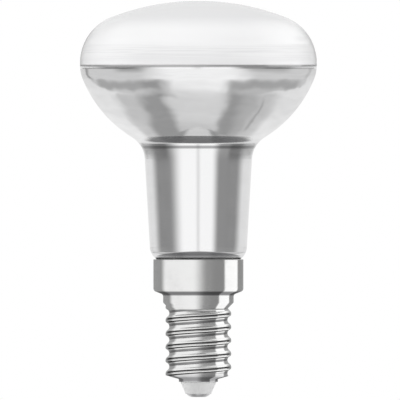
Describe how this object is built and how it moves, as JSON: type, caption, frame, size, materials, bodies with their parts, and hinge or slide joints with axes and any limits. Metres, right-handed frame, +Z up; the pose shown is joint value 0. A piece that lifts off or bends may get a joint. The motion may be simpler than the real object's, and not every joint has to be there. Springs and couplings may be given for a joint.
{
  "type": "reflector light bulb",
  "caption": "Reflector light bulb with a frosted domed front, a mirrored bowl and tapered neck, and a small nickel-plated screw cap with an insulated centre contact.",
  "frame": {"origin": "tip of the centre contact, on the lamp's axis", "axes": "+Z up the axis from the contact to the dome; +X to the viewer's right and +Y away from the viewer"},
  "size_m": [0.05, 0.05, 0.0837],
  "materials": {
    "bulb_glass": "satin white dome, mirrored bowl and neck",
    "cement": "matte",
    "plated_shell": "bright nickel plate",
    "insulator": "satin",
    "contact_metal": "tinned",
    "lead_wire": "plain drawn wire"
  },
  "bodies": {
    "root": {"glass_bulb": "bulb_glass", "capping_cement": "cement", "screw_shell": "plated_shell", "base_insulator": "insulator", "centre_contact": "contact_metal", "centre_lead": "lead_wire", "side_lead": "lead_wire"}
  },
  "joints": []
}
